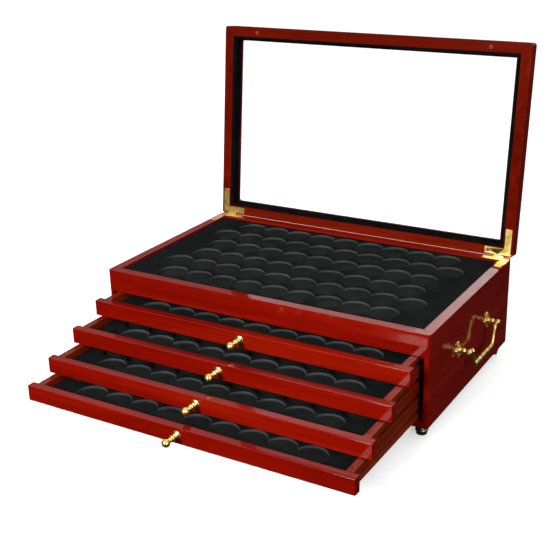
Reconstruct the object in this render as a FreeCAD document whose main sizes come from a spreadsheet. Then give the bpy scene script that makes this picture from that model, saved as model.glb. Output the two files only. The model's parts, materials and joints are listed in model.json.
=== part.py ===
"""Lacquered coin display chest.

A hinged glass lid over a fixed coin tray, and four coin drawers that hang on side runners,
with a brass ball knob on each drawer, a brass bail handle on each end and four turned feet.

Row frame: millimetres, +X to the right as seen from the front, +Y to the back, +Z up.
The origin is on the ground, midway along the stored pose in X and Y.
Stored pose: lid open against its hinge stops, drawers drawn out like stairs, bails hanging.
"""
import FreeCAD, Part
import os
import re

import Sketcher

Vector = FreeCAD.Vector
X_AXIS = Vector(1, 0, 0)
Z_AXIS = Vector(0, 0, 1)

doc = FreeCAD.newDocument("CoinDisplayChest")

# ---------------------------------------------------------------- driving dimensions
DIMENSIONS = {
    # carcass
    "case_width": 500,
    "case_depth": 304,
    "rim_height": 130.5,
    "wall": 14,
    "corner_radius": 4,
    "base_height": 9,
    "board": 8,
    "board_lap": 7,
    "drawer_zone_top": 99,
    "lip_lap": 7.4,
    "lip_depth": 12.4,
    "deck_base": 108,
    "deck_thickness": 6,
    "deck_lap": 4,
    # lid
    "lid_gap": 0.4,
    "lid_height": 22,
    "lid_overhang": 1,
    "lid_edge_radius": 3,
    "lid_rail_top": 20,
    "glass_recess": 4.5,
    "glass_thickness": 2.5,
    "opening_corner": 4,
    "lid_open": 96.2,
    "bumper_radius": 3,
    "bumper_height": 0.3,
    "bumper_inset": 58,
    # drawers
    "drawer_pitch": 22.5,
    "front_width": 486,
    "front_height": 22,
    "front_thickness": 12,
    "front_edge_radius": 1.2,
    "box_width": 470,
    "box_back": 288,
    "side_thickness": 10,
    "side_height": 20.8,
    "side_base": 0.8,
    "back_thickness": 8,
    "bottom_base": 1.6,
    "bottom_thickness": 3,
    "bottom_lap": 3,
    "groove_depth": 5,
    "groove_height": 7,
    "groove_base": 8,
    "groove_start": 32,
    "runner_thickness": 5.5,
    "runner_height": 6,
    "runner_start": 36,
    # coin trays
    "recess_radius": 21.75,
    "recess_pitch": 41.5,
    "recess_depth": 3.9,
    "row_pitch": 43,
    "middle_pitch": 45,
    "tray_clearance": 0.2,
    "tray_drop": 10.5,
    "deck_tray_drop": 3,
    # brass fittings
    "ball_radius": 5.4,
    "knob_reach": 22,
    "knob_rise": 1.2,
    "knob_neck": 2.3,
    "knob_flange": 6,
    "stud_radius": 2,
    "stud_length": 10,
    "leaf_width": 9.5,
    "leaf_length": 39,
    "leaf_thickness": 1.2,
    "leaf_proud": 0.15,
    "leaf_inset": 2.3,
    "leaf_back_inset": 2.7,
    "barrel_radius": 2.4,
    "barrel_setback": 0,
    "barrel_clearance": 0.3,
    "barrel_length": 14,
    "pin_radius": 1,
    "pin_clearance": 0.05,
    "screw_head": 2.3,
    "screw_shank": 1.1,
    "screw_length": 8,
    "bail_spacing": 104,
    "bail_height": 71,
    "bail_reach": 16.5,
    "bail_drop": 27,
    "bail_bar": 70,
    "bail_rod": 2.8,
    "bail_grip": 3.3,
    "bail_shoulder": 3,
    "eye_radius": 4.2,
    "eye_bore": 1.7,
    "bail_pin": 1.62,
    "rosette_thickness": 2,
    # feet
    "foot_height": 17,
    "foot_radius": 8.5,
    "foot_inset_side": 14.4,
    "foot_inset_front": 17.5,
    "pad_height": 2.5,
    "pad_bore": 4.8,
    # stored pose: how far each drawer is drawn out, and the distance from the
    # case front back to the origin
    "out_one": 42,
    "out_two": 94,
    "out_three": 147,
    "out_four": 190,
    "origin_setback": 70.7,
}

sheet = doc.addObject("Spreadsheet::Sheet", "Size")
for line, (alias, value) in enumerate(DIMENSIONS.items(), start=1):
    sheet.set(f"A{line}", alias)
    sheet.set(f"B{line}", str(value))
    sheet.setAlias(f"B{line}", alias)
doc.recompute()

TRAY_ROWS = (9, 10, 9, 9, 10, 9)
DRAWER_NAMES = ("one", "two", "three", "four")
sub_parts = []


# ---------------------------------------------------------------- small tools
def rule(text):
    """Turn a sum of sheet names into an expression over the sheet."""
    return re.sub(r"[a-z_]+", lambda word: "Size." + word.group(0) if word.group(0) in DIMENSIONS
                  else word.group(0), str(text))


def bind(thing, rules):
    for name, text in rules.items():
        thing.setExpression(name, rule(text))
    return thing


def at(thing, corner):
    """Bind an object's base point to three rules."""
    return bind(thing, {"Placement.Base." + axis: text for axis, text in zip("xyz", corner)})


def turned(thing, axis, degrees=90):
    """Turn a primitive, which stands along +Z, about one axis of its own frame."""
    thing.Placement = FreeCAD.Placement(Vector(), FreeCAD.Rotation(axis, degrees))
    return thing


def block(name, corner, sides):
    box = doc.addObject("Part::Box", name)
    bind(box, dict(zip(("Length", "Width", "Height"), sides)))
    return at(box, corner)


def rod(name, radius, height, base, axis=None, degrees=90):
    cylinder = doc.addObject("Part::Cylinder", name)
    if axis:
        turned(cylinder, axis, degrees)
    bind(cylinder, {"Radius": radius, "Height": height})
    return at(cylinder, base)


def cone(name, low, high, height, base, axis=None, degrees=90):
    made = doc.addObject("Part::Cone", name)
    if axis:
        turned(made, axis, degrees)
    bind(made, {"Radius1": low, "Radius2": high, "Height": height})
    return at(made, base)


def ball(name, radius, base):
    return at(bind(doc.addObject("Part::Sphere", name), {"Radius": radius}), base)


def ring(name, large, small, base, axis=None):
    torus = doc.addObject("Part::Torus", name)
    if axis:
        turned(torus, axis)
    bind(torus, {"Radius1": large, "Radius2": small})
    return at(torus, base)


def mitred(name, half, depth, corner, height):
    """A wedge whose two ends run back at 45 degrees, to part a frame's front or back rail."""
    wedge = doc.addObject("Part::Wedge", name)
    bind(wedge, {"Xmin": f"-({half})", "Xmax": half, "Ymin": 0, "Ymax": depth, "Zmin": 0, "Zmax": height,
                 "X2min": f"-({half}) + {depth}", "X2max": f"{half} - ({depth})",
                 "Z2min": 0, "Z2max": height})
    return at(wedge, corner)


def fuse(name, pieces):
    joined = doc.addObject("Part::MultiFuse", name)
    joined.Shapes = pieces
    joined.Refine = True
    return joined


def cut(name, base, tools):
    """Cut one or more tools from a base."""
    for count, tool in enumerate(tools):
        last = count == len(tools) - 1
        made = doc.addObject("Part::Cut", name if last else f"{name}_step")
        made.Base = base
        made.Tool = tool
        base = made
    return base


def common(name, base, tool):
    made = doc.addObject("Part::Common", name)
    made.Base = base
    made.Tool = tool
    return made


def group(name, pieces):
    made = doc.addObject("Part::Compound", name)
    made.Links = pieces
    return made


def mirrored(name, source):
    """The same piece on the other side of the middle plane."""
    made = doc.addObject("Part::Mirroring", name)
    made.Source = source
    made.Normal = X_AXIS
    return made


def sub_part(label, thing, place):
    """Hand in a piece under its label, placed in the row frame."""
    holder = thing
    if thing.TypeId != "PartDesign::Body":
        holder = group(f"{label}_part", [thing])
    holder.Label = label
    corner, angle = place
    if angle:
        holder.Placement = FreeCAD.Placement(Vector(), FreeCAD.Rotation(X_AXIS, 1))
        holder.setExpression("Placement.Rotation.Angle", rule(angle) + " * 1 deg")
    at(holder, corner)
    sub_parts.append(holder)
    return holder


# ---------------------------------------------------------------- sketched bodies
def origin_plane(body, role):
    return next(feature for feature in body.Origin.OriginFeatures if feature.Role == role)


def sketch_on(body, name, role, offset=(0, 0, 0)):
    sketch = body.newObject("Sketcher::SketchObject", name)
    sketch.AttachmentSupport = [(origin_plane(body, role), "")]
    sketch.MapMode = "FlatFace"
    return bind(sketch, {"AttachmentOffset.Base." + axis: text for axis, text in zip("xyz", offset)})


def rectangle(sketch, width, height):
    """A rectangle from the sketch's own origin, sized by two rules."""
    corners = [Vector(0, 0, 0), Vector(10, 0, 0), Vector(10, 10, 0), Vector(0, 10, 0)]
    for start, end in zip(corners, corners[1:] + corners[:1]):
        sketch.addGeometry(Part.LineSegment(start, end))
    for side in range(4):
        sketch.addConstraint(Sketcher.Constraint("Coincident", side, 2, (side + 1) % 4, 1))
        sketch.addConstraint(Sketcher.Constraint("Vertical" if side % 2 else "Horizontal", side))
    sketch.addConstraint(Sketcher.Constraint("Coincident", 0, 1, -1, 1))
    wide = sketch.addConstraint(Sketcher.Constraint("DistanceX", 0, 1, 0, 2, 10))
    tall = sketch.addConstraint(Sketcher.Constraint("DistanceY", 1, 1, 1, 2, 10))
    return bind(sketch, {f"Constraints[{wide}]": width, f"Constraints[{tall}]": height})


def circle(sketch, radius):
    """A circle about the sketch's own origin."""
    sketch.addGeometry(Part.Circle(Vector(), Z_AXIS, 5))
    sketch.addConstraint(Sketcher.Constraint("Coincident", 0, 3, -1, 1))
    size = sketch.addConstraint(Sketcher.Constraint("Radius", 0, 5))
    return bind(sketch, {f"Constraints[{size}]": radius})


def pad(body, name, sketch, length, backwards=False):
    made = body.newObject("PartDesign::Pad", name)
    made.Profile = sketch
    made.Reversed = backwards
    bind(made, {"Length": length})
    doc.recompute()
    return made


def pocket(body, name, sketch, length, backwards=False):
    """A pocket that has to take material away."""
    before = body.Shape.Volume
    made = body.newObject("PartDesign::Pocket", name)
    made.Profile = sketch
    made.Reversed = backwards
    bind(made, {"Length": length})
    doc.recompute()
    if body.Shape.Volume > before - 1:
        raise RuntimeError(f"{body.Name}: {name} cuts nothing")
    return made


def fillet(body, name, base, radius, wanted):
    """Round the edges of the base feature whose middle satisfies a test."""
    names = []
    for count, edge in enumerate(base.Shape.Edges, start=1):
        middle = edge.valueAt((edge.FirstParameter + edge.LastParameter) / 2)
        if wanted(edge, middle):
            names.append(f"Edge{count}")
    made = body.newObject("PartDesign::Fillet", name)
    made.Base = (base, names)
    bind(made, {"Radius": radius})
    doc.recompute()
    return made


def upright(edge, middle):
    return abs(edge.tangentAt(edge.FirstParameter).z) > 0.99


def rounded_block(name, corner, sides):
    """A block with rounded upright corners, from which a frame's rails are parted."""
    body = doc.addObject("PartDesign::Body", name)
    outline = rectangle(sketch_on(body, f"{name}_outline", "XY_Plane", corner), sides[0], sides[1])
    blank = pad(body, f"{name}_pad", outline, sides[2])
    return body, fillet(body, f"{name}_corners", blank, "corner_radius", upright)


# ---------------------------------------------------------------- where each body stands
IN_CASE = (("0", "-origin_setback", "foot_height"), None)
IN_LID = (("0", "case_depth + barrel_setback - origin_setback",
           "foot_height + rim_height + lid_gap / 2"), "-lid_open")


def in_drawer(count):
    step = f"drawer_pitch * {len(DRAWER_NAMES) - 1 - count}"
    return (("0", f"-origin_setback - out_{DRAWER_NAMES[count]}",
             f"foot_height + base_height + 0.25 + {step}"), None)


# ---------------------------------------------------------------- coin trays
def coin_tray(label, span, front, back, base, top, place):
    """A flocked board with six rows of round recesses; neighbours in a row run into each other."""
    width = f"{span} - 2 * tray_clearance"
    body = doc.addObject("PartDesign::Body", label)
    corner = (f"-({width}) / 2", f"{front} + tray_clearance", base)
    outline = rectangle(sketch_on(body, f"{label}_outline", "XY_Plane", corner), width,
                        f"{back} - ({front}) - 2 * tray_clearance")
    pad(body, f"{label}_board", outline, f"{top} - ({base})")
    middle_row = (len(TRAY_ROWS) - 1) / 2
    for row, coins in enumerate(TRAY_ROWS):
        side = 1 if row > middle_row else -1
        steps = abs(row - middle_row) - 0.5
        centre = (f"-recess_pitch * {(coins - 1) / 2}",
                  f"({front} + {back}) / 2 + {side} * (middle_pitch / 2 + row_pitch * {steps})", top)
        first = circle(sketch_on(body, f"{label}_circle", "XY_Plane", centre), "recess_radius")
        recess = pocket(body, f"{label}_recess", first, "recess_depth")
        pattern = body.newObject("PartDesign::LinearPattern", f"{label}_row")
        pattern.Originals = [recess]
        pattern.Direction = (first, ["H_Axis"])
        pattern.Occurrences = coins
        bind(pattern, {"Length": f"recess_pitch * {coins - 1}"})
        body.Tip = pattern
        doc.recompute()
    return sub_part(label, body, place)


# ---------------------------------------------------------------- screws and hinges
def wood_screw(name, base, upwards=1):
    """A slotted countersunk screw: its flat head faces +Z, or -Z when it points upwards."""
    turn = None if upwards > 0 else X_AXIS
    sink = cone(f"{name}_sink", "screw_shank", "screw_head", "leaf_thickness",
                (base[0], base[1], f"{base[2]} - {upwards} * leaf_thickness"), turn, 180)
    shank = rod(f"{name}_shank", "screw_shank", "screw_length",
                (base[0], base[1], f"{base[2]} - {upwards} * screw_length"), turn, 180)
    return fuse(name, [sink, shank])


def slotted(name, screw, base, upwards=1):
    low = "-0.4" if upwards > 0 else "0"
    slot = block(f"{name}_slot", (f"{base[0]} - 0.3", f"{base[1]} - screw_head", f"{base[2]} + {low}"),
                 ("0.6", "2 * screw_head", "0.4"))
    return cut(name, screw, [slot])


RIM_EDGE = "case_width / 2 - leaf_inset"
RIM_BACK = "case_depth - leaf_back_inset"
SCREW_SPOTS = ((f"{RIM_EDGE} - leaf_width / 2", f"{RIM_BACK} - leaf_length + 5"),
               (f"{RIM_EDGE} - leaf_width / 2", f"{RIM_BACK} - leaf_width / 2"),
               (f"{RIM_EDGE} - leaf_length + 5", f"{RIM_BACK} - leaf_width / 2"))
BARREL_FROM = f"{RIM_EDGE} - leaf_width - barrel_length"


def leaf_plate(name, depth_shift, base):
    """The L-shaped plate of a hinge leaf at the right back corner, lying in the rim."""
    along_side = block(f"{name}_side_leg",
                       (f"{RIM_EDGE} - leaf_width", f"{RIM_BACK} - leaf_length {depth_shift}", base),
                       ("leaf_width", "leaf_length", "leaf_thickness"))
    along_back = block(f"{name}_back_leg",
                       (f"{RIM_EDGE} - leaf_length", f"{RIM_BACK} - leaf_width {depth_shift}", base),
                       ("leaf_length", "leaf_width", "leaf_thickness"))
    return fuse(name, [along_side, along_back])


def leaf_recess(name, plate, depth_shift, base):
    """What the wood loses to a leaf: its plate, and the strip that its barrel tabs cross."""
    strip = block(f"{name}_strip", (BARREL_FROM, f"{RIM_BACK} - 0.5 {depth_shift}", base),
                  ("barrel_length", "leaf_back_inset + 1", "leaf_thickness"))
    return fuse(name, [plate, strip])


def barrel_notch(name, depth, height):
    """The round notch that the wood is given behind a hinge's barrel."""
    return rod(name, "barrel_radius + barrel_clearance", "barrel_length + 2 * barrel_clearance",
               (f"{BARREL_FROM} - barrel_clearance", depth, height), Vector(0, 1, 0))


def knuckle(name, start, length, depth, height, tab_base, bore):
    """One rolled knuckle with the tab that joins it to its leaf; the pin's bore is left open."""
    barrel = rod(f"{name}_barrel", "barrel_radius", length, (start, depth, height), Vector(0, 1, 0))
    tab = block(f"{name}_tab", (start, f"{depth} - barrel_setback - leaf_back_inset - 0.5", tab_base),
                (length, "barrel_setback + leaf_back_inset + 0.5", "leaf_thickness"))
    hole = rod(f"{name}_bore", f"pin_radius + {bore}", f"{length} + 1", (f"{start} - 0.5", depth, height),
               Vector(0, 1, 0))
    return fuse(f"{name}_solid", [barrel, tab]), hole


def hinge_leaf(name, plate, knuckles, holes):
    return cut(name, fuse(f"{name}_joined", [plate] + knuckles), holes)


# ---------------------------------------------------------------- case
def build_case():
    carcass, _ = rounded_block("carcass_blank", ("-case_width / 2", "0", "0"),
                               ("case_width", "case_depth", "rim_height"))
    half = "case_width / 2"
    inner = "case_width / 2 - wall"
    top_wedge = mitred("top_rail_wedge", half, "wall", (0, 0, "drawer_zone_top"),
                       "rim_height - drawer_zone_top")
    base_wedge = mitred("base_rail_wedge", half, "wall", (0, 0, 0), "base_height")
    board = block("bottom_board", (f"-({inner}) - board_lap", "wall - board_lap", 0),
                  (f"2 * ({inner} + board_lap)", "case_depth - 2 * (wall - board_lap)", "board"))
    deck = block("deck_board", (f"-({inner}) - deck_lap", "wall - deck_lap", "deck_base"),
                 (f"2 * ({inner} + deck_lap)", "case_depth - 2 * (wall - deck_lap)", "deck_thickness"))
    rabbet = block("drawer_rabbet", (inner, -1, "base_height"),
                   ("lip_lap", "lip_depth + 1", "drawer_zone_top - base_height"))
    side_zone = block("side_zone", (inner, 0, 0), ("wall", "case_depth", "rim_height"))
    back_zone = block("back_zone", (f"-({inner})", "case_depth - wall", 0),
                      (f"2 * ({inner})", "wall", "rim_height"))

    rim = "rim_height + leaf_proud"
    plate = leaf_plate("case_leaf_plate", "", f"{rim} - leaf_thickness")
    recess = leaf_recess("case_leaf_recess", plate, "", f"{rim} - leaf_thickness")
    notch = barrel_notch("case_barrel_notch", "case_depth + barrel_setback", "rim_height + lid_gap / 2")
    recess = fuse("case_hinge_recess", [recess, notch])
    screws = [wood_screw(f"case_hinge_screw_{spot}", (*SCREW_SPOTS[spot], rim))
              for spot in range(len(SCREW_SPOTS))]
    foot_spots = [(f"{sign} * (case_width / 2 - foot_inset_side)", depth)
                  for depth in ("foot_inset_front", "case_depth - foot_inset_front") for sign in (1, -1)]
    foot_screws = [rod(f"foot_screw_shank_{spot}", "screw_shank", "pad_height + 12",
                       (*foot_spots[spot], "-foot_height + pad_height + 4"))
                   for spot in range(len(foot_spots))]
    handle_screws = [rod(f"handle_spigot_{spot}", "stud_radius", "10",
                         ("case_width / 2 - 10", f"case_depth / 2 + {sign} * bail_spacing / 2", "bail_height"),
                         Vector(0, 1, 0)) for spot, sign in enumerate((-1, 1))]

    side = cut("case_side_shape", common("side_panel", carcass, side_zone),
               [top_wedge, base_wedge, board, deck, rabbet, recess] + screws + handle_screws
               + foot_screws[0::2])
    sub_part("case_side_right", side, IN_CASE)
    sub_part("case_side_left", mirrored("case_side_left_shape", side), IN_CASE)
    back = cut("case_back_shape", common("back_panel", carcass, back_zone),
               [board, deck, recess, mirrored("case_leaf_recess_left", recess),
                screws[2], mirrored("case_hinge_screw_far", screws[2])])
    sub_part("case_back", back, IN_CASE)
    sub_part("case_front_rail", cut("front_rail_shape", common("front_rail", carcass, top_wedge), [deck]),
             IN_CASE)
    sub_part("case_base_rail", cut("base_rail_shape", common("base_rail", carcass, base_wedge),
                                   [board] + foot_screws[:2]), IN_CASE)
    sub_part("case_bottom", cut("case_bottom_shape", board, foot_screws), IN_CASE)
    sub_part("tray_deck", deck, IN_CASE)
    coin_tray("top_tray_insert", "case_width - 2 * wall", "wall", "case_depth - wall", "deck_base + deck_thickness",
              "rim_height - deck_tray_drop", IN_CASE)

    runners = []
    for count, name in enumerate(DRAWER_NAMES):
        height = f"base_height + 0.25 + drawer_pitch * {3 - count} + groove_base + 0.5"
        strip = block(f"runner_strip_{name}", (f"{inner} - runner_thickness", "runner_start + 3", height),
                      ("runner_thickness", "box_back - runner_start - 3", "runner_height"))
        nose = rod(f"runner_nose_{name}", "runner_height / 2", "runner_thickness",
                   (f"{inner} - runner_thickness", "runner_start + 3", f"{height} + runner_height / 2"),
                   Vector(0, 1, 0))
        runners.append(fuse(f"runner_{name}", [strip, nose]))
    right_runners = group("runners_right", runners)
    sub_part("drawer_runners_right", right_runners, IN_CASE)
    sub_part("drawer_runners_left", mirrored("runners_left", right_runners), IN_CASE)
    build_hinge_case_side(plate, screws)
    build_feet(foot_spots, foot_screws)


def build_hinge_case_side(plate, screws):
    """The case leaves with two outer knuckles each, their pins and their screws."""
    depth = "case_depth + barrel_setback"
    height = "rim_height + lid_gap / 2"
    tab_base = "rim_height + leaf_proud - leaf_thickness"
    third = "barrel_length / 3"
    solids = []
    holes = []
    for count, start in enumerate((BARREL_FROM, f"{BARREL_FROM} + 2 * {third} + 0.1")):
        solid, hole = knuckle(f"case_knuckle_{count}", start, f"{third} - 0.1", depth, height, tab_base, "0")
        solids.append(solid)
        holes.append(hole)
    leaf = hinge_leaf("case_leaf_shape", plate, solids, holes + screws)
    sub_part("hinge_case_leaf_right", leaf, IN_CASE)
    sub_part("hinge_case_leaf_left", mirrored("case_leaf_left", leaf), IN_CASE)
    pin = rod("hinge_pin", "pin_radius", "barrel_length", (BARREL_FROM, depth, height), Vector(0, 1, 0))
    sub_part("hinge_pins", group("hinge_pin_pair", [pin, mirrored("hinge_pin_left", pin)]), IN_CASE)
    heads = [slotted(f"case_slotted_{spot}", screw, (*SCREW_SPOTS[spot], "rim_height + leaf_proud"))
             for spot, screw in enumerate(screws)]
    sub_part("hinge_case_screws", group("case_hinge_screw_sets",
                                        heads + [mirrored(f"case_screw_left_{spot}", head)
                                                 for spot, head in enumerate(heads)]), IN_CASE)


def build_feet(foot_spots, shanks):
    """Four turned feet, each held by a pan-head screw and shod with a rubber ring."""
    feet = []
    pads = []
    screws = []
    for spot, (across, depth) in enumerate(foot_spots):
        low = "-foot_height + pad_height"
        drum = rod(f"foot_drum_{spot}", "foot_radius - 1.5", "foot_height - pad_height", (across, depth, low))
        bead = ring(f"foot_bead_{spot}", "foot_radius - 2.5", "2.5", (across, depth, f"{low} + 4"))
        collar = rod(f"foot_collar_{spot}", "foot_radius - 0.5", "2", (across, depth, "-2"))
        well = rod(f"foot_well_{spot}", "pad_bore", "4", (across, depth, low))
        feet.append(cut(f"foot_{spot}", fuse(f"foot_turning_{spot}", [drum, bead, collar]),
                        [well, shanks[spot]]))
        disc = rod(f"pad_disc_{spot}", "foot_radius - 1.5", "pad_height", (across, depth, "-foot_height"))
        bore = rod(f"pad_hole_{spot}", "pad_bore", "pad_height", (across, depth, "-foot_height"))
        pads.append(cut(f"pad_{spot}", disc, [bore]))
        head = rod(f"foot_screw_head_{spot}", "4", "2", (across, depth, f"{low} + 2"))
        screws.append(fuse(f"foot_screw_{spot}", [head, shanks[spot]]))
    sub_part("feet", group("foot_set", feet), IN_CASE)
    sub_part("foot_pads", group("pad_set", pads), IN_CASE)
    sub_part("foot_screws", group("foot_screw_set", screws), IN_CASE)


# ---------------------------------------------------------------- handles
def build_handles():
    """On each end: two rosettes with eyed posts, and the bail that swings between them."""
    wall_face = "case_width / 2"
    posts = []
    for count, sign in enumerate((-1, 1)):
        depth = f"case_depth / 2 + {sign} * bail_spacing / 2"
        lobes = []
        for lobe, (dy, dz, radius) in enumerate(((0, 6.8, 5.2), (0, -6.8, 5.2), (5.6, 0, 4.8), (-5.6, 0, 4.8))):
            lobes.append(rod(f"lobe_{count}_{lobe}", radius, "rosette_thickness",
                             (wall_face, f"{depth} + {dy}", f"bail_height + {dz}"), Vector(0, 1, 0)))
        foot = cone(f"post_foot_{count}", "5", "3", "3", (f"{wall_face} + rosette_thickness - 0.1", depth,
                                                          "bail_height"), Vector(0, 1, 0))
        stem = rod(f"post_stem_{count}", "3", "bail_reach", (wall_face, depth, "bail_height"),
                   Vector(0, 1, 0))
        bead = rod(f"post_bead_{count}", "3.8", "3.2", (f"{wall_face} + 7", depth, "bail_height"),
                   Vector(0, 1, 0))
        eye = ball(f"post_eye_{count}", "eye_radius", (f"{wall_face} + bail_reach", depth, "bail_height"))
        spigot = rod(f"post_spigot_{count}", "stud_radius", "10.5", (f"{wall_face} - 10", depth, "bail_height"),
                     Vector(0, 1, 0))
        bore = rod(f"eye_bore_{count}", "eye_bore", "20", (f"{wall_face} + bail_reach", f"{depth} - 10",
                                                          "bail_height"), X_AXIS, -90)
        posts.append(cut(f"handle_post_{count}", fuse(f"post_turning_{count}", lobes + [foot, stem, bead, eye, spigot]),
                         [bore]))
    pair = group("handle_post_pair", posts)
    sub_part("handle_posts_right", pair, IN_CASE)
    sub_part("handle_posts_left", mirrored("handle_post_pair_left", pair), IN_CASE)
    bail = build_bail()
    sub_part("handle_bail_right", bail, IN_CASE)
    sub_part("handle_bail_left", mirrored("handle_bail_mirror", bail), IN_CASE)


def build_bail():
    """A tapered bail: pins through the two eyes, slanting arms, and a bar with turned beads."""
    size = {name: sheet.get(name) for name in ("case_width", "case_depth", "bail_reach", "bail_height",
                                               "bail_spacing", "bail_drop", "bail_bar", "bail_rod",
                                               "bail_grip", "bail_shoulder", "bail_pin", "eye_radius")}
    across = size["case_width"] / 2 + size["bail_reach"]
    middle = size["case_depth"] / 2
    top = size["bail_height"]
    low = top - size["bail_drop"]
    half_bar = size["bail_bar"] / 2
    shoulder = size["bail_spacing"] / 2 - size["eye_radius"] - size["bail_shoulder"]
    route = [Vector(across, middle - shoulder, top), Vector(across, middle - half_bar, low),
             Vector(across, middle + half_bar, low), Vector(across, middle + shoulder, top)]
    solids = []
    for start, end, radius in zip(route, route[1:], (size["bail_rod"], size["bail_grip"], size["bail_rod"])):
        solids.append(Part.makeCylinder(radius, (end - start).Length, start, end - start))
    for joint, radius in zip(route, (3, 3.5, 3.5, 3)):
        solids.append(Part.makeSphere(radius, joint))
    for sign in (-1, 1):
        start = Vector(across, middle + sign * shoulder, top)
        reach = size["bail_spacing"] / 2 + size["eye_radius"] + 0.8 - shoulder
        solids.append(Part.makeCylinder(size["bail_pin"], reach, start, Vector(0, sign, 0)))
    for place, radius in ((-0.4, 3.9), (-0.2, 4.2), (0, 3.9), (0.2, 4.2), (0.4, 3.9)):
        solids.append(Part.makeSphere(radius, Vector(across, middle + place * size["bail_bar"], low)))
    bail = doc.addObject("Part::Feature", "bail")
    bail.Shape = solids[0].fuse(solids[1:]).removeSplitter()
    return bail


# ---------------------------------------------------------------- lid
def build_lid():
    """The lid in its own frame: origin on the hinge axis, shape as when it is shut."""
    half = "case_width / 2 + lid_overhang"
    back = "-barrel_setback"
    depth = "(case_depth + lid_overhang)"
    front = f"{back} - {depth}"
    low = "lid_gap / 2"
    top = "lid_gap / 2 + lid_height"
    body, corners = rounded_block("lid_blank", (f"-({half})", front, low), (f"2 * ({half})", depth, "lid_height"))
    level = sheet.get("lid_gap") / 2 + sheet.get("lid_height")
    rounded = fillet(body, "lid_top_edge", corners, "lid_edge_radius",
                     lambda edge, middle: abs(middle.z - level) < 0.01 and
                     abs(edge.valueAt(edge.FirstParameter).z - level) < 0.01)
    rim = "lid_rail_top + lid_overhang"
    opening = rectangle(sketch_on(body, "opening_outline", "XY_Plane",
                                  (f"-({half}) + {rim}", f"{front} + {rim}", top)),
                        f"2 * ({half} - ({rim}))", f"{depth} - 2 * lid_rail_top - lid_overhang")
    through = pocket(body, "lid_opening", opening, "lid_height + 1")
    ledge_half = "(case_width / 2 - wall)"
    ledge = rectangle(sketch_on(body, "ledge_outline", "XY_Plane",
                                (f"-{ledge_half}", f"{back} - case_depth + wall", "lid_gap / 2")),
                      f"2 * {ledge_half}", "case_depth - 2 * wall")
    widened = pocket(body, "lid_ledge", ledge, "lid_height - glass_recess", True)
    inner_x = sheet.get("case_width") / 2 - sheet.get("lid_rail_top")
    fillet(body, "opening_corners", widened, "opening_corner",
           lambda edge, middle: upright(edge, middle) and abs(abs(middle.x) - inner_x) < 0.01)

    overhang_wall = "wall + lid_overhang"
    front_wedge = mitred("lid_front_wedge", half, "lid_rail_top + lid_overhang + 4", (0, front, low), "lid_height")
    back_wedge = mitred("lid_back_wedge", half, "lid_rail_top + lid_overhang + 4", (0, front, low), "lid_height")
    turned(back_wedge, Z_AXIS, 180)
    at(back_wedge, (0, back, low))

    shift = "- case_depth - barrel_setback"
    face = "lid_gap / 2 - leaf_proud"
    plate = leaf_plate("lid_leaf_plate", shift, face)
    spots = [(across, f"{deep} {shift}") for across, deep in SCREW_SPOTS]
    screws = [wood_screw(f"lid_hinge_screw_{count}", (*spot, face), -1) for count, spot in enumerate(spots)]
    recess = fuse("lid_hinge_recess", [leaf_recess("lid_leaf_recess", plate, shift, face),
                                       barrel_notch("lid_barrel_notch", "0", "0")])
    recesses = [recess, mirrored("lid_leaf_recess_left", recess)]
    all_screws = screws + [mirrored(f"lid_screw_left_{count}", screw) for count, screw in enumerate(screws)]

    sub_part("lid_rail_front", common("lid_front_rail", body, front_wedge), IN_LID)
    sub_part("lid_rail_back", cut("lid_back_shape", common("lid_back_rail", body, back_wedge),
                                  recesses + all_screws), IN_LID)
    middle = block("lid_side_zone", (0, front, low), (half, depth, "lid_height"))
    stile = cut("lid_stile_shape", common("lid_stile", body, middle),
                [front_wedge, back_wedge, recess] + screws)
    sub_part("lid_stile_right", stile, IN_LID)
    sub_part("lid_stile_left", mirrored("lid_stile_mirror", stile), IN_LID)

    glass_low = f"{top} - glass_recess - glass_thickness"
    glass = block("glass_sheet", (f"-{ledge_half} + 0.5", f"{back} - case_depth + wall + 0.5", glass_low),
                  (f"2 * {ledge_half} - 1", "case_depth - 2 * wall - 1", "glass_thickness"))
    sub_part("lid_glass", glass, IN_LID)
    build_lid_liner(ledge_half, back, glass_low)

    bumper = rod("bumper", "bumper_radius", "bumper_height",
                 ("case_width / 2 - bumper_inset", f"{front} + lid_overhang + wall / 2",
                  "lid_gap / 2 - bumper_height"))
    sub_part("lid_bumpers", group("bumper_pair", [bumper, mirrored("bumper_left", bumper)]), IN_LID)

    third = "barrel_length / 3"
    solid, hole = knuckle("lid_knuckle", f"{BARREL_FROM} + {third} + 0.1", f"{third} - 0.1", "0", "0",
                          face, "pin_clearance")
    leaf = hinge_leaf("lid_leaf_shape", plate, [solid], [hole] + screws)
    sub_part("hinge_lid_leaf_right", leaf, IN_LID)
    sub_part("hinge_lid_leaf_left", mirrored("lid_leaf_left", leaf), IN_LID)
    heads = [slotted(f"lid_slotted_{count}", screw, (*spots[count], face), -1)
             for count, screw in enumerate(screws)]
    sub_part("hinge_lid_screws", group("lid_screw_sets", heads + [mirrored(f"lid_head_left_{count}", head)
                                                                 for count, head in enumerate(heads)]), IN_LID)


def build_lid_liner(ledge_half, back, glass_low):
    """Four velvet-covered strips that hold the glass up against its ledge."""
    width = "lid_rail_top - wall"
    base = "lid_gap / 2 + 0.6"
    height = f"{glass_low} - ({base})"
    long_strip = (f"2 * {ledge_half}", width, height)
    short_strip = (width, f"case_depth - 2 * wall - 2 * ({width})", height)
    inner_front = f"{back} - case_depth + wall"
    strips = [block("liner_front", (f"-{ledge_half}", inner_front, base), long_strip),
              block("liner_back", (f"-{ledge_half}", f"{back} - lid_rail_top", base), long_strip),
              block("liner_left", (f"-{ledge_half}", f"{inner_front} + {width}", base), short_strip),
              block("liner_right", (f"{ledge_half} - ({width})", f"{inner_front} + {width}", base), short_strip)]
    sub_part("lid_liner", group("liner_strips", strips), IN_LID)


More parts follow.
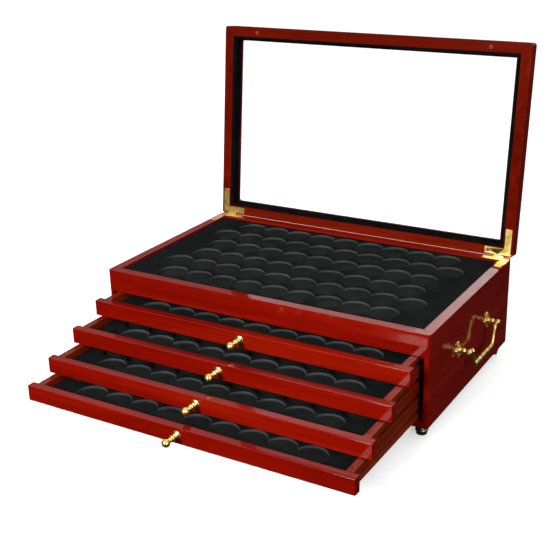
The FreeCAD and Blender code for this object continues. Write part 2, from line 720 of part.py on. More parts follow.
# ---------------------------------------------------------------- drawers
def build_drawer(count):
    """One drawer in its own frame: origin at the foot of its front face, in the middle."""
    name = f"drawer_{count + 1}"
    place = in_drawer(count)
    half_box = "box_width / 2"
    inner = "(box_width / 2 - side_thickness)"
    bottom = block(f"{name}_board", (f"-{inner} - bottom_lap", "front_thickness - bottom_lap", "bottom_base"),
                   (f"2 * {inner} + 2 * bottom_lap", "box_back - front_thickness + bottom_lap",
                    "bottom_thickness"))
    stud_hole = rod(f"{name}_stud_hole", "stud_radius", "stud_length", (0, 0, "front_height / 2 + knob_rise"),
                    X_AXIS, -90)

    front = doc.addObject("PartDesign::Body", f"{name}_front_board")
    outline = rectangle(sketch_on(front, f"{name}_front_outline", "XZ_Plane", ("-front_width / 2", 0, 0)),
                        "front_width", "front_height")
    panel = pad(front, f"{name}_front_pad", outline, "front_thickness", True)
    fillet(front, f"{name}_front_round", panel, "front_edge_radius",
           lambda edge, middle: abs(middle.y) < 0.01)
    sub_part(f"{name}_front", cut(f"{name}_front_shape", front, [bottom, stud_hole]), place)

    groove_end = "groove_start + groove_height / 2"
    channel = block(f"{name}_channel", (f"{half_box} - groove_depth", groove_end, "groove_base"),
                    ("groove_depth + 1", "box_back", "groove_height"))
    nose = rod(f"{name}_channel_nose", "groove_height / 2", "groove_depth + 1",
               (f"{half_box} - groove_depth", groove_end, "groove_base + groove_height / 2"), Vector(0, 1, 0))
    board = block(f"{name}_side_board", (inner, "front_thickness", "side_base"),
                  ("side_thickness", "box_back - front_thickness", "side_height"))
    side = cut(f"{name}_side_shape", board, [channel, nose, bottom])
    sub_part(f"{name}_side_right", side, place)
    sub_part(f"{name}_side_left", mirrored(f"{name}_side_mirror", side), place)
    sub_part(f"{name}_back", block(f"{name}_back_board",
                                   (f"-{inner}", "box_back - back_thickness", "bottom_base + bottom_thickness"),
                                   (f"2 * {inner}", "back_thickness",
                                    "side_base + side_height - bottom_base - bottom_thickness")), place)
    sub_part(f"{name}_bottom", bottom, place)
    coin_tray(f"{name}_insert", "box_width - 2 * side_thickness", "front_thickness", "box_back - back_thickness",
              "bottom_base + bottom_thickness", "front_height - tray_drop", place)
    build_knob(name, place)


def build_knob(name, place):
    """A turned ball knob on a beaded neck, with the stud that holds it in the drawer front."""
    height = "front_height / 2 + knob_rise"
    stud = rod(f"{name}_stud", "stud_radius", "stud_length", (0, 0, height), X_AXIS, -90)
    flange = rod(f"{name}_flange", "knob_flange", "1", (0, 0, height), X_AXIS, 90)
    flare = cone(f"{name}_flare", "knob_flange", "knob_neck + 0.8", "1.6", (0, -1, height), X_AXIS, 90)
    neck = rod(f"{name}_neck", "knob_neck", "knob_reach", (0, 0, height), X_AXIS, 90)
    beads = [ring(f"{name}_bead_{count}", "knob_neck", radius, (0, depth, height), X_AXIS)
             for count, (depth, radius) in enumerate(((-4.5, 1.4), (-10, 1.9), (-14.5, 1)))]
    sphere = ball(f"{name}_ball", "ball_radius", (0, "-knob_reach", height))
    sub_part(f"{name}_knob", fuse(f"{name}_knob_turning", [stud, flange, flare, neck, sphere] + beads), place)


# ---------------------------------------------------------------- build, check and write
build_case()
build_handles()
build_lid()
for drawer in range(len(DRAWER_NAMES)):
    build_drawer(drawer)
doc.recompute()

failed = [thing.Name for thing in doc.Objects if {"Invalid", "Error"} & set(thing.State)]
if failed:
    raise RuntimeError(f"objects that failed to recompute: {failed}")
os.makedirs("parts", exist_ok=True)
for piece in sub_parts:
    if piece.Shape.isNull() or not piece.Shape.isValid() or not piece.Shape.Solids:
        raise RuntimeError(f"{piece.Label} has no valid solid")
    piece.Shape.exportStep(f"parts/{piece.Label}.step")
print(len(sub_parts), "sub-parts written")
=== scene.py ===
import json
import math

import bmesh
import bpy
from mathutils import Matrix, Vector


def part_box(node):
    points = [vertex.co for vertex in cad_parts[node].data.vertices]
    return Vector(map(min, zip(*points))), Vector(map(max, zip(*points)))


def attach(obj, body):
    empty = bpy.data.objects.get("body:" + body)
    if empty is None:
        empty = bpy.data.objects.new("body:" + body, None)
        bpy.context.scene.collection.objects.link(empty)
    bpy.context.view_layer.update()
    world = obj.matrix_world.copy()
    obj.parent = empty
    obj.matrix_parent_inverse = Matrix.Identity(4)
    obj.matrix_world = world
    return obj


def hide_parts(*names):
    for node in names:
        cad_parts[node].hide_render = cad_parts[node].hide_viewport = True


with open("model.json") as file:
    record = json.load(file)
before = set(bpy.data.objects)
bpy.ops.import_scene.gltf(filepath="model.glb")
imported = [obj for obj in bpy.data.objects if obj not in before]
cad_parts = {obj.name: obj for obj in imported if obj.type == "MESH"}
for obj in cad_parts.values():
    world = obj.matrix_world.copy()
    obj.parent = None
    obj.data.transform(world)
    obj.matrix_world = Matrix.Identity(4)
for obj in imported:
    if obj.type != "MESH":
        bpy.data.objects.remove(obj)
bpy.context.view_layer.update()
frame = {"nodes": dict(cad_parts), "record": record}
NODES = frame["nodes"]
BODIES = frame["record"]["behaviour"]["bodies"]
BODY_OF = {node: body for body, nodes in BODIES.items() for node in nodes}
SLOT_OF = {part["node"]: part["material_slot"] for part in frame["record"]["subparts"]}
MM = 0.001


# ---------------------------------------------------------------- node helpers
def new_material(name):
    material = bpy.data.materials.new(name)
    material.use_nodes = True
    tree = material.node_tree
    tree.nodes.clear()
    output = tree.nodes.new("ShaderNodeOutputMaterial")
    shader = tree.nodes.new("ShaderNodeBsdfPrincipled")
    tree.links.new(shader.outputs[0], output.inputs["Surface"])
    return material, tree, shader


def coordinates(tree, scale=(1, 1, 1), shift=(0, 0, 0)):
    """Object coordinates, stretched so that a grain runs along the short-scaled axis."""
    source = tree.nodes.new("ShaderNodeTexCoord")
    mapping = tree.nodes.new("ShaderNodeMapping")
    mapping.inputs["Scale"].default_value = scale
    mapping.inputs["Location"].default_value = shift
    tree.links.new(source.outputs["Object"], mapping.inputs["Vector"])
    return mapping.outputs[0]


def noise_node(tree, vector, scale, detail=4.0, roughness=0.55, distortion=0.0):
    made = tree.nodes.new("ShaderNodeTexNoise")
    made.inputs["Scale"].default_value = scale
    made.inputs["Detail"].default_value = detail
    made.inputs["Roughness"].default_value = roughness
    made.inputs["Distortion"].default_value = distortion
    tree.links.new(vector, made.inputs["Vector"])
    return made.outputs["Fac"]


def ramp(tree, value, stops):
    made = tree.nodes.new("ShaderNodeValToRGB")
    elements = made.color_ramp.elements
    elements[0].position, elements[0].color = stops[0][0], (*stops[0][1], 1)
    elements[1].position, elements[1].color = stops[-1][0], (*stops[-1][1], 1)
    for position, colour in stops[1:-1]:
        elements.new(position).color = (*colour, 1)
    tree.links.new(value, made.inputs[0])
    return made.outputs[0]


def grey(level):
    return (level, level, level)


def mix_colour(tree, factor, first, second, blend="MIX"):
    made = tree.nodes.new("ShaderNodeMix")
    made.data_type = "RGBA"
    made.blend_type = blend
    sockets = made.inputs[0], made.inputs[6], made.inputs[7]
    for socket, value in zip(sockets, (factor, first, second)):
        if isinstance(value, (int, float)):
            socket.default_value = value
        elif isinstance(value, tuple):
            socket.default_value = (*value, 1)
        else:
            tree.links.new(value, socket)
    return made.outputs[2]


def bump(tree, shader, height, strength, distance, socket="Normal"):
    made = tree.nodes.new("ShaderNodeBump")
    made.inputs["Strength"].default_value = strength
    made.inputs["Distance"].default_value = distance
    tree.links.new(height, made.inputs["Height"])
    tree.links.new(made.outputs[0], shader.inputs[socket])


def set_inputs(shader, **values):
    for name, value in values.items():
        shader.inputs[name.replace("_", " ")].default_value = value


# ---------------------------------------------------------------- materials
# Each stain's darkest, middle and lightest tone.
RED_STAIN = ((0.130, 0.0020, 0.0004), (0.180, 0.0034, 0.0006), (0.245, 0.0085, 0.0012))
BROWN_STAIN = ((0.120, 0.008, 0.0015), (0.165, 0.014, 0.0028), (0.225, 0.026, 0.0050))
# The lid's red stain made darker: painted shade for the lid's faces that look to the front.
LID_SHADED_STAIN = ((0.074, 0.0024, 0.0005), (0.108, 0.0047, 0.0009), (0.155, 0.0095, 0.0016))


def facing_front(tree):
    """1 on faces that look towards the front in the piece's own frame, 0 elsewhere."""
    source = tree.nodes.new("ShaderNodeTexCoord")
    split = tree.nodes.new("ShaderNodeSeparateXYZ")
    tree.links.new(source.outputs["Normal"], split.inputs[0])
    share = tree.nodes.new("ShaderNodeMapRange")
    share.inputs["From Min"].default_value = -0.5
    share.inputs["From Max"].default_value = -0.8
    tree.links.new(split.outputs["Y"], share.inputs["Value"])
    return share.outputs[0]


def lacquered_wood(axis, name, stain, shaded_stain=None):
    """Stained wood under thick clear lacquer, its grain along one axis.

    Faces that look to the front take the darker shaded copy of the stain, if there is one: painted shade.
    """
    along, across = 1.4, 22.0
    scale = [across, across, across]
    scale["XYZ".index(axis)] = along
    material, tree, shader = new_material(f"{name}_{axis}")
    grain_space = coordinates(tree, tuple(scale))
    fine_scale = tuple(value * 5 for value in scale)
    fine_space = coordinates(tree, fine_scale, (0.3, 0.7, 0.1))
    plain_space = coordinates(tree)
    figure = noise_node(tree, grain_space, 1.3, 6.0, 0.6, 0.8)
    pores = noise_node(tree, fine_space, 2.2, 3.0, 0.5)
    cloud = noise_node(tree, plain_space, 5.0, 2.0, 0.5)
    bands = (0.30, 0.50, 0.72)
    tone = ramp(tree, figure, list(zip(bands, stain)))
    # Painted shade: the faces that look to the front take a darker copy of the stain.
    if shaded_stain:
        shaded_tone = ramp(tree, figure, list(zip(bands, shaded_stain)))
        tone = mix_colour(tree, facing_front(tree), tone, shaded_tone)
    dark_pores = ramp(tree, pores, [(0.38, grey(0.80)), (0.56, grey(1.0))])
    tone = mix_colour(tree, 0.6, tone, dark_pores, "MULTIPLY")
    patches = ramp(tree, cloud, [(0.30, grey(0.92)), (0.70, grey(1.04))])
    tree.links.new(mix_colour(tree, 1.0, tone, patches, "MULTIPLY"), shader.inputs["Base Color"])
    haze = ramp(tree, cloud, [(0.35, grey(0.10)), (0.70, grey(0.17))])
    tree.links.new(haze, shader.inputs["Roughness"])
    set_inputs(shader, IOR=1.2, Coat_Weight=0.32, Coat_Roughness=0.03, Coat_IOR=1.5)
    shader.inputs["Specular Tint"].default_value = (1.0, 0.30, 0.22, 1)
    bump(tree, shader, pores, 0.05, 0.0003)
    ripple = noise_node(tree, plain_space, 28.0, 2.0, 0.5)
    bump(tree, shader, ripple, 0.04, 0.0010, "Coat Normal")
    return material


def inner_wood():
    material, tree, shader = new_material("inner_wood")
    space = coordinates(tree, (2.0, 30.0, 30.0))
    figure = noise_node(tree, space, 1.5, 5.0, 0.6, 0.6)
    pores = noise_node(tree, coordinates(tree, (8.0, 160.0, 160.0)), 2.0, 2.0)
    tone = ramp(tree, figure, [(0.3, (0.10, 0.012, 0.005)), (0.7, (0.20, 0.028, 0.010))])
    shade = ramp(tree, pores, [(0.42, grey(0.6)), (0.58, grey(1.0))])
    tree.links.new(mix_colour(tree, 0.7, tone, shade, "MULTIPLY"), shader.inputs["Base Color"])
    tree.links.new(ramp(tree, figure, [(0.3, grey(0.45)), (0.7, grey(0.6))]), shader.inputs["Roughness"])
    bump(tree, shader, pores, 0.15, 0.0004)
    return material


RECESS_DEPTH = 3.9
# Painted highlight up a recess wall: how pale the nap is made at each share of the wall's height, from
# floor to land; the last stop makes the land darker.
WALL_PAINTED_HIGHLIGHT = ((0.0, 0.85), (0.10, 0.95), (0.22, 1.8), (0.60, 2.6), (0.92, 2.8), (0.985, 0.55))


def flocked(name, dark, light, land=None):
    """Short flocked fibre, matt and mottled; a painted highlight makes the nap on a recess wall, below
    the land, paler, and the land darker.
    """
    material, tree, shader = new_material(name)
    plain = coordinates(tree)
    nap = noise_node(tree, plain, 1900.0, 2.0, 0.7)
    brushed = noise_node(tree, plain, 38.0, 4.0, 0.6, 0.4)
    speck = ramp(tree, nap, [(0.35, grey(0.62)), (0.68, grey(1.35))])
    tone = ramp(tree, brushed, [(0.32, dark), (0.68, light)])
    if land:
        split = tree.nodes.new("ShaderNodeSeparateXYZ")
        tree.links.new(plain, split.inputs[0])
        height = tree.nodes.new("ShaderNodeMapRange")
        height.inputs["From Min"].default_value = land - (RECESS_DEPTH + 0.2) * MM
        height.inputs["From Max"].default_value = land
        tree.links.new(split.outputs["Z"], height.inputs["Value"])
        # Painted highlight: the recess walls are made paler by height, and the land above them darker.
        painted_highlight_stops = [(share, grey(level)) for share, level in WALL_PAINTED_HIGHLIGHT]
        shade = ramp(tree, height.outputs[0], painted_highlight_stops)
        tone = mix_colour(tree, 1.0, tone, shade, "MULTIPLY")
    tree.links.new(mix_colour(tree, 1.0, tone, speck, "MULTIPLY"), shader.inputs["Base Color"])
    tree.links.new(ramp(tree, brushed, [(0.3, grey(0.9)), (0.7, grey(1.0))]), shader.inputs["Roughness"])
    set_inputs(shader, IOR=1.05)
    bump(tree, shader, nap, 0.45, 0.0003)
    return material


def polished_brass(name, base, worn, roughness):
    """Lacquered brass with faint buffing, small spots and duller worn patches."""
    material, tree, shader = new_material(name)
    plain = coordinates(tree)
    patch = noise_node(tree, plain, 160.0, 3.0, 0.6)
    fine = noise_node(tree, plain, 420.0, 2.0, 0.6)
    tone = ramp(tree, patch, [(0.38, worn), (0.58, base)])
    tree.links.new(tone, shader.inputs["Base Color"])
    low, high = roughness
    tree.links.new(ramp(tree, patch, [(0.40, grey(high)), (0.60, grey(low))]), shader.inputs["Roughness"])
    set_inputs(shader, Metallic=1.0, Coat_Weight=0.7, Coat_Roughness=0.07)
    bump(tree, shader, fine, 0.02, 0.0002)
    return material


def clear_glass():
    material, tree, shader = new_material("clear_glass")
    plain = coordinates(tree)
    wave = noise_node(tree, plain, 7.0, 1.0)
    smear = noise_node(tree, plain, 22.0, 3.0)
    set_inputs(shader, Transmission_Weight=1.0, IOR=1.45)
    tint = ramp(tree, wave, [(0.3, (0.985, 0.997, 0.992)), (0.7, (0.992, 1.0, 0.997))])
    tree.links.new(tint, shader.inputs["Base Color"])
    tree.links.new(ramp(tree, smear, [(0.45, grey(0.0)), (0.8, grey(0.01))]), shader.inputs["Roughness"])
    return material


def rubber(name, dark, light):
    material, tree, shader = new_material(name)
    plain = coordinates(tree)
    grain = noise_node(tree, plain, 900.0, 3.0)
    tree.links.new(ramp(tree, grain, [(0.3, dark), (0.7, light)]), shader.inputs["Base Color"])
    tree.links.new(ramp(tree, grain, [(0.3, grey(0.55)), (0.7, grey(0.75))]), shader.inputs["Roughness"])
    set_inputs(shader, IOR=1.25)
    bump(tree, shader, grain, 0.2, 0.0002)
    return material


def zinc_steel():
    material, tree, shader = new_material("zinc_steel")
    plain = coordinates(tree)
    fine = noise_node(tree, plain, 700.0, 3.0)
    tone = ramp(tree, fine, [(0.3, (0.42, 0.43, 0.44)), (0.7, (0.62, 0.62, 0.60))])
    tree.links.new(tone, shader.inputs["Base Color"])
    tree.links.new(ramp(tree, fine, [(0.3, grey(0.28)), (0.7, grey(0.45))]), shader.inputs["Roughness"])
    set_inputs(shader, Metallic=1.0)
    return material


WOOD = {axis: lacquered_wood(axis, "lacquered_wood", RED_STAIN) for axis in "XYZ"}
# The lid's wood, with painted shade on its faces that look to the front.
LID_WOOD = {axis: lacquered_wood(axis, "lid_wood", RED_STAIN, LID_SHADED_STAIN) for axis in "XY"}
SIDE_WOOD = lacquered_wood("Y", "drawer_side_wood", BROWN_STAIN)
MATERIALS = {
    "inner_wood": inner_wood(),
    "velvet": flocked("velvet", (0.0022, 0.0022, 0.0024), (0.005, 0.005, 0.0055)),
    "brass": polished_brass("polished_brass", (0.95, 0.72, 0.23), (0.86, 0.59, 0.15), (0.28, 0.38)),
    "aged_brass": polished_brass("aged_brass", (0.40, 0.36, 0.20), (0.22, 0.20, 0.11), (0.3, 0.5)),
    "steel": zinc_steel(),
    "rubber": rubber("rubber", (0.012, 0.012, 0.011), (0.035, 0.034, 0.032)),
    "red_rubber": rubber("red_rubber", (0.20, 0.010, 0.003), (0.30, 0.020, 0.006)),
    "glass": clear_glass(),
}


def material_of(node):
    slot = SLOT_OF[node]
    low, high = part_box(node)
    if slot == "flocked_tray":
        return flocked(f"flocked_{node}", (0.012, 0.0135, 0.0133), (0.020, 0.0222, 0.0218), high.z)
    if node == "lid_bumpers":
        return MATERIALS["red_rubber"]
    if slot != "lacquered_wood":
        return MATERIALS[slot]
    if node.startswith("drawer_") and "_side_" in node:
        return SIDE_WOOD
    if node.startswith("lid_"):
        return LID_WOOD["X" if node.startswith("lid_rail") else "Y"]
    sides = [high[axis] - low[axis] for axis in range(3)]
    return WOOD["XYZ"[sides.index(max(sides))]]


# ---------------------------------------------------------------- mesh helpers
def stand_in(node, finish, mesh):
    """A piece that replaces one CAD node, on the node's own body and in its material slot."""
    piece = bpy.data.objects.new(f"{node}_{finish}", mesh)
    bpy.context.scene.collection.objects.link(piece)
    mesh.materials.clear()
    mesh.materials.append(material_of(node))
    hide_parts(node)
    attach(piece, BODY_OF[node])


def applied(mesh, *modifiers):
    """The mesh after a list of (type, settings) modifiers."""
    holder = bpy.data.objects.new("working", mesh)
    bpy.context.scene.collection.objects.link(holder)
    for kind, settings in modifiers:
        modifier = holder.modifiers.new(kind, kind)
        for key, value in settings.items():
            setattr(modifier, key, value)
    graph = bpy.context.evaluated_depsgraph_get()
    result = bpy.data.meshes.new_from_object(holder.evaluated_get(graph))
    bpy.data.objects.remove(holder)
    return result


def eased_mesh(node, width, segments=3, sharp=32):
    """The CAD piece's mesh with its facets joined and its sharp edges eased."""
    shape = bmesh.new()
    shape.from_mesh(NODES[node].data)
    bmesh.ops.remove_doubles(shape, verts=shape.verts, dist=2e-6)
    bmesh.ops.dissolve_limit(shape, angle_limit=math.radians(0.4), verts=shape.verts, edges=shape.edges)
    bmesh.ops.recalc_face_normals(shape, faces=shape.faces)
    mesh = bpy.data.meshes.new(node + "_eased")
    shape.to_mesh(mesh)
    shape.free()
    mesh.shade_smooth()
    return applied(mesh, ("BEVEL", {"width": width, "segments": segments, "limit_method": "ANGLE",
                                    "angle_limit": math.radians(sharp), "use_clamp_overlap": True,
                                    "miter_outer": "MITER_ARC"}),
                   ("WEIGHTED_NORMAL", {"mode": "FACE_AREA", "weight": 80}),
                   ("TRIANGULATE", {"keep_custom_normals": True}))


def ease_node(node, width, segments=3, sharp=32):
    stand_in(node, "eased", eased_mesh(node, width, segments, sharp))


# ---------------------------------------------------------------- wood
def make_wood():
    for node, slot in SLOT_OF.items():
        if slot == "lacquered_wood":
            meets_lid = node in ("case_back", "lid_rail_back")
            ease_node(node, (0.12 if meets_lid else 0.5) * MM)
        elif slot == "inner_wood":
            ease_node(node, 0.3 * MM, 2)


# ---------------------------------------------------------------- trays
def make_trays():
    for node, slot in SLOT_OF.items():
        if slot == "flocked_tray":
            ease_node(node, 0.9 * MM, 4, 50)
    ease_node("lid_liner", 0.8 * MM, 3)


# ---------------------------------------------------------------- turned and bent brass
def bridge(shape, first, second):
    """Faces between two rings of vertices; either may be a single point."""
    if len(first) == 1 and len(second) == 1:
        return
    count = max(len(first), len(second))
    for step in range(count):
        after = (step + 1) % count
        corners = [first[step % len(first)], first[after % len(first)],
                   second[after % len(second)], second[step % len(second)]]
        shape.faces.new(list(dict.fromkeys(corners)))


def lathed(shape, profile, centre, axis, closed=False, sides=40):
    """Turn a profile of (radius, distance along the axis) in millimetres about an axis."""
    turn = Vector(axis).to_track_quat("Z", "Y").to_matrix()
    rings = []
    for radius, along in profile:
        spokes = sides if radius > 0.001 else 1
        ring = []
        for step in range(spokes):
            angle = 2 * math.pi * step / spokes
            spot = Vector((radius * math.cos(angle), radius * math.sin(angle), along)) * MM
            ring.append(shape.verts.new(Vector(centre) + turn @ spot))
        rings.append(ring)
    following = rings[1:] + rings[:1] if closed else rings[1:]
    for low, high in zip(rings, following):
        bridge(shape, low, high)


def arc(middle, along, radius, start, end, steps=10):
    """Points of a profile on a circle; angles in degrees, 0 away from the axis and 90 along it."""
    points = []
    for step in range(steps + 1):
        angle = math.radians(start + (end - start) * step / steps)
        points.append((middle + radius * math.cos(angle), along + radius * math.sin(angle)))
    return points


def finished(name, shape):
    bmesh.ops.recalc_face_normals(shape, faces=shape.faces)
    mesh = bpy.data.meshes.new(name)
    shape.to_mesh(mesh)
    shape.free()
    mesh.shade_smooth()
    mesh.set_sharp_from_angle(angle=math.radians(42))
    return mesh


STUD_LENGTH = 10


def make_knob(node):
    """A stud, flange, beaded neck and ball, turned about an axis that points to the front."""
    low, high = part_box(node)
    centre = (0, high.y - STUD_LENGTH * MM, (low.z + high.z) / 2)
    neck = 2.3
    profile = [(0, -STUD_LENGTH), (2, -STUD_LENGTH), (2, 0), (5.7, 0)]
    profile += arc(5.5, 0.5, 0.5, -60, 80, 5)
    profile += [(4.9, 1.2), (3.9, 1.7), (3.2, 2.4), (2.6, 3.0)]
    for along, radius, height in ((4.5, 1.2, 1.4), (10.0, 1.6, 1.9), (14.5, 0.9, 1.0)):
        profile += [(neck, along - radius - 0.5)]
        profile += [(neck + (across - neck) * height / radius, reach)
                    for across, reach in arc(neck, along, radius, -90, 90, 8)]
        profile += [(neck, along + radius + 0.5)]
    profile += arc(0, 22, 5.4, -64, 90, 18)
    shape = bmesh.new()
    lathed(shape, profile, centre, (0, -1, 0))
    stand_in(node, "turned", finished(node, shape))


# The rosette's lobes (across, up, radius) and, from rim to middle, its rings (share of the outline's
# reach, rise from the wall, depth of the chasing), in millimetres.
LOBES = ((0, 6.8, 5.2), (0, -6.8, 5.2), (5.6, 0, 4.8), (-5.6, 0, 4.8))
RELIEF = ((1.0, 0.0, 0.0), (1.0, 1.1, 0.0), (0.95, 1.8, 0.0), (0.87, 2.0, 0.0), (0.79, 1.3, 0.0),
          (0.74, 1.4, 0.15), (0.60, 2.3, 0.45), (0.46, 2.0, 0.30), (0.36, 2.1, 0.0))


def lobed_reach(angle):
    """How far the rosette's outline is from its middle in one direction, in millimetres."""
    best = 0
    for across, up, radius in LOBES:
        forward = across * math.cos(angle) + up * math.sin(angle)
        aside = across * math.sin(angle) - up * math.cos(angle)
        if abs(aside) < radius:
            best = max(best, forward + math.sqrt(radius ** 2 - aside ** 2))
    return best


def rosette(shape, wall, depth, height, sign, sides=72):
    """A chased quatrefoil back plate, standing on the end of the case."""
    rings = []
    for share, rise, chasing in RELIEF:
        ring = []
        for step in range(sides):
            angle = 2 * math.pi * step / sides
            reach = share * lobed_reach(angle)
            lift = rise + chasing * math.cos(12 * angle)
            ring.append(shape.verts.new((wall + sign * lift * MM, depth + reach * math.cos(angle) * MM,
                                         height + reach * math.sin(angle) * MM)))
        rings.append(ring)
    for first, second in zip(rings, rings[1:]):
        bridge(shape, first, second)
    bridge(shape, rings[0], [shape.verts.new((wall, depth, height))])
    bridge(shape, rings[-1], [shape.verts.new((wall + sign * 2.1 * MM, depth, height))])


# Sizes of the posts and bails in millimetres; the beads are (place along the bar, radius).
EYE_RADIUS = 4.2
EYE_BORE = 1.7
EYE_REACH = 16.5
ROSETTE_HALF_DEPTH = 7.6
PIN_RADIUS = 1.62
BAR_HALF = 35
BAIL_DROP = 27
BAR_BEADS = ((0, 3.9), (14, 4.2), (28, 3.9))


def make_posts(node, sign):
    """Two rosettes on one end of the case, each with a turned post that ends in an eye."""
    low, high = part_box(node)
    height = (low.z + high.z) / 2
    outer = high.x if sign > 0 else low.x
    eye = outer - sign * EYE_RADIUS * MM
    wall = eye - sign * EYE_REACH * MM
    shape = bmesh.new()
    post = [(0, -10), (2, -10), (2, 1.6)] + arc(4.6, 2.4, 0.7, -70, 80, 6)
    post += [(4.0, 3.3), (3.2, 4.2), (2.8, 5.4)] + arc(0, 8.6, 4.0, -46, 46, 14)
    post += [(2.7, 11.7), (2.9, 12.2), (3.2, 13.8), (0, 14.5)]
    angle = math.degrees(math.acos(EYE_BORE / EYE_RADIUS))
    ring_profile = arc(0, 0, EYE_RADIUS, -angle, angle, 16)
    for depth in (low.y + ROSETTE_HALF_DEPTH * MM, high.y - ROSETTE_HALF_DEPTH * MM):
        rosette(shape, wall, depth, height, sign)
        lathed(shape, post, (wall, depth, height), (sign, 0, 0), sides=28)
        lathed(shape, ring_profile, (eye, depth, height), (0, 1, 0), closed=True, sides=32)
    stand_in(node, "chased", finished(node, shape))


def rounded_route(corners, bend, step=0.8):
    """Points along a bent wire: straight runs with a rounded turn at each inner corner."""
    points = [corners[0]]
    for before, corner, after in zip(corners, corners[1:], corners[2:]):
        into = corner + (before - corner).normalized() * bend
        out = corner + (after - corner).normalized() * bend
        points += straight(points[-1], into, step)
        for share in range(1, 9):
            part = share / 8
            points.append(into * (1 - part) ** 2 + corner * 2 * part * (1 - part) + out * part ** 2)
    return points + straight(points[-1], corners[-1], step)


def straight(start, end, step):
    count = max(1, round((end - start).length / step))
    return [start.lerp(end, share / count) for share in range(1, count + 1)]


def bail_radius(spot, pin_start):
    """The bail's thickness: thin pins, stout arms, and beads turned on the bar."""
    across, height = abs(spot.x), spot.y
    if height > -1.6 and across > pin_start:
        return PIN_RADIUS
    if height > -BAIL_DROP + 0.3:
        return 2.9 - 0.5 * math.sin(math.pi * height / BAIL_DROP) ** 2
    radius = 3.3
    for place, size in BAR_BEADS:
        if abs(across - place) < size:
            radius = max(radius, math.sqrt(size ** 2 - (across - place) ** 2))
    return radius


def make_bail(node, sign):
    """A bail, swept along its route in the plane of the two eyes."""
    low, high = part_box(node)
    middle_x, middle_y = (low.x + high.x) / 2, (low.y + high.y) / 2
    half = (high.y - low.y) / 2 / MM
    shoulder_radius = 3
    top = high.z - shoulder_radius * MM
    pin_end = 0.8
    shoulder = half - pin_end - 2 * EYE_RADIUS - shoulder_radius
    pin_start = shoulder + 1.4
    corners = [Vector((-half, 0)), Vector((-shoulder, 0)), Vector((-BAR_HALF, -BAIL_DROP)),
               Vector((BAR_HALF, -BAIL_DROP)), Vector((shoulder, 0)), Vector((half, 0))]
    route = rounded_route(corners, 4.5)
    shape = bmesh.new()
    rings = [[shape.verts.new((middle_x, middle_y - half * MM, top))]]
    sides = 20
    for place, spot in enumerate(route):
        before, after = route[max(place - 1, 0)], route[min(place + 1, len(route) - 1)]
        along = (after - before).normalized()
        aside = Vector((-along.y, along.x))
        radius = bail_radius(spot, pin_start)
        if place in (0, len(route) - 1):
            radius = 1.2
        ring = []
        for turn in range(sides):
            angle = 2 * math.pi * turn / sides
            flat = spot + aside * radius * math.cos(angle)
            ring.append(shape.verts.new((middle_x + sign * radius * math.sin(angle) * MM,
                                         middle_y + flat.x * MM, top + flat.y * MM)))
        rings.append(ring)
    rings.append([shape.verts.new((middle_x, middle_y + half * MM, top))])
    for first, second in zip(rings, rings[1:]):
        bridge(shape, first, second)
    stand_in(node, "bent", finished(node, shape))


def make_feet():
    """Four hollow turned feet, each with a rubber ring under it."""
    low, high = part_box("feet")
    inset = 8.5 * MM
    spots = [(across, depth) for across in (low.x + inset, high.x - inset)
             for depth in (low.y + inset, high.y - inset)]
    turning = [(0, 6.5), (4.8, 6.5), (4.8, 2.5), (6.4, 2.5)] + arc(5.9, 5.9, 2.6, -75, 70, 12)
    turning += [(6.2, 9.2), (6.0, 10.4), (6.1, 12.0), (6.6, 13.4)]
    turning += arc(7.0, 15.4, 1.0, -70, 80, 8) + [(0, 17)]
    ring = [(4.8, 0.4), (5.2, 0), (6.6, 0), (7.0, 0.4), (7.0, 2.5), (4.8, 2.5)]
    feet, pads = bmesh.new(), bmesh.new()
    for across, depth in spots:
        lathed(feet, turning, (across, depth, 0), (0, 0, 1))
        lathed(pads, ring, (across, depth, 0), (0, 0, 1), closed=True)
    stand_in("feet", "turned", finished("feet", feet))
    stand_in("foot_pads", "moulded", finished("foot_pads", pads))


def make_fittings():
    make_feet()
    for sign, side in ((-1, "left"), (1, "right")):
        make_posts(f"handle_posts_{side}", sign)
        make_bail(f"handle_bail_{side}", sign)
    for count in range(1, 5):
        make_knob(f"drawer_{count}_knob")
    for node, slot in SLOT_OF.items():
        made = node.startswith(("feet", "foot_pads", "handle_")) or node.endswith("_knob")
        if slot in ("brass", "steel", "rubber") and not made:
            ease_node(node, 0.18 * MM, 2, 40)
    ease_node("lid_glass", 0.4 * MM, 2)


# ---------------------------------------------------------------- studio
def stage_piece(name, shape, glow):
    """A pale piece of the studio, left out of reflections and of bounced light."""
    mesh = bpy.data.meshes.new(name)
    shape.to_mesh(mesh)
    shape.free()
    piece = bpy.data.objects.new(name, mesh)
    bpy.context.scene.collection.objects.link(piece)
    material, tree, shader = new_material("pale_" + name)
    soft = noise_node(tree, coordinates(tree), 3.0, 2.0)
    tree.links.new(ramp(tree, soft, [(0.3, grey(0.86)), (0.7, grey(0.90))]), shader.inputs["Base Color"])
    set_inputs(shader, Roughness=0.9, IOR=1.1, Emission_Strength=glow)
    shader.inputs["Emission Color"].default_value = (1, 1, 1, 1)
    mesh.materials.append(material)
    piece.visible_glossy = False
    piece.visible_diffuse = False
    return piece


def make_stage():
    """A pale floor and a round pale wall far behind the object."""
    ground = bmesh.new()
    bmesh.ops.create_grid(ground, x_segments=1, y_segments=1, size=15)
    stage_piece("floor", ground, 0.5)
    wall = bmesh.new()
    bmesh.ops.create_cone(wall, cap_ends=False, segments=64, radius1=14, radius2=14, depth=24)
    backdrop = stage_piece("backdrop", wall, 1.1)
    backdrop.visible_shadow = False


def area_light(name, place, aim, size, power):
    data = bpy.data.lights.new(name, "AREA")
    data.shape = "RECTANGLE"
    data.size, data.size_y = size
    data.energy = power
    lamp = bpy.data.objects.new(name, data)
    bpy.context.scene.collection.objects.link(lamp)
    lamp.location = place
    lamp.rotation_mode = "QUATERNION"
    lamp.rotation_quaternion = (Vector(aim) - Vector(place)).to_track_quat("-Z", "Y")


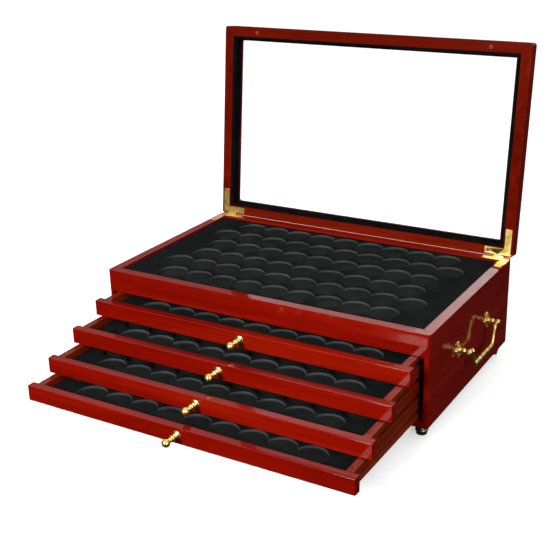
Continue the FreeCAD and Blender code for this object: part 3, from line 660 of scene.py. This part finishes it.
def make_lights():
    """A grey dome, brightest overhead and to the back, a soft key and fill, and a window behind."""
    world = bpy.data.worlds.new("studio")
    bpy.context.scene.world = world
    world.use_nodes = True
    tree = world.node_tree
    background = tree.nodes["Background"]
    source = tree.nodes.new("ShaderNodeTexCoord")
    split = tree.nodes.new("ShaderNodeSeparateXYZ")
    tree.links.new(source.outputs["Generated"], split.inputs[0])
    rise = tree.nodes.new("ShaderNodeMapRange")
    rise.inputs["From Min"].default_value = -1.0
    tree.links.new(split.outputs["Z"], rise.inputs["Value"])
    height = ramp(tree, rise.outputs[0], [(0.0, grey(0.012)), (0.48, grey(0.012)), (0.53, grey(0.16)),
                                          (0.70, grey(0.28)), (0.84, grey(1.0)), (1.0, grey(1.2))])
    back = tree.nodes.new("ShaderNodeMapRange")
    back.inputs["From Min"].default_value = -1.0
    tree.links.new(split.outputs["Y"], back.inputs["Value"])
    depth = ramp(tree, back.outputs[0], [(0.0, grey(0.16)), (0.40, grey(0.30)), (0.70, grey(0.75)),
                                         (1.0, grey(1.0))])
    tree.links.new(mix_colour(tree, 1.0, height, depth, "MULTIPLY"), background.inputs[0])
    background.inputs[1].default_value = 1.5
    area_light("key", (-0.35, -2.3, 1.2), (0, -0.1, 0.1), (0.8, 0.8), 92)
    area_light("fill", (2.3, -1.3, 0.9), (0, 0, 0.1), (0.9, 0.9), 34)
    area_light("window", (-0.45, 3.0, 1.35), (0, 0, 0.1), (1.1, 0.6), 3.2)
    bpy.context.scene.view_settings.view_transform = "Standard"


def make_camera():
    """Seen from the front right and from above."""
    case_low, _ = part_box("case_front_rail")
    azimuth, elevation, roll = math.radians(30.8), math.radians(21.4), math.radians(-1.4)
    back = Vector((math.sin(azimuth) * math.cos(elevation), -math.cos(azimuth) * math.cos(elevation),
                   math.sin(elevation)))
    data = bpy.data.cameras.new("camera")
    data.sensor_width = 36
    data.lens = 66
    camera = bpy.data.objects.new("camera", data)
    bpy.context.scene.collection.objects.link(camera)
    camera.location = (0.676, case_low.y - 1.068, case_low.z + 0.554)
    camera.rotation_mode = "QUATERNION"
    tilt = Matrix.Rotation(roll, 4, "Z").to_quaternion()
    camera.rotation_quaternion = (-back).to_track_quat("-Z", "Y") @ tilt
    bpy.context.scene.camera = camera


make_stage()
make_lights()
make_camera()
make_wood()
make_trays()
make_fittings()
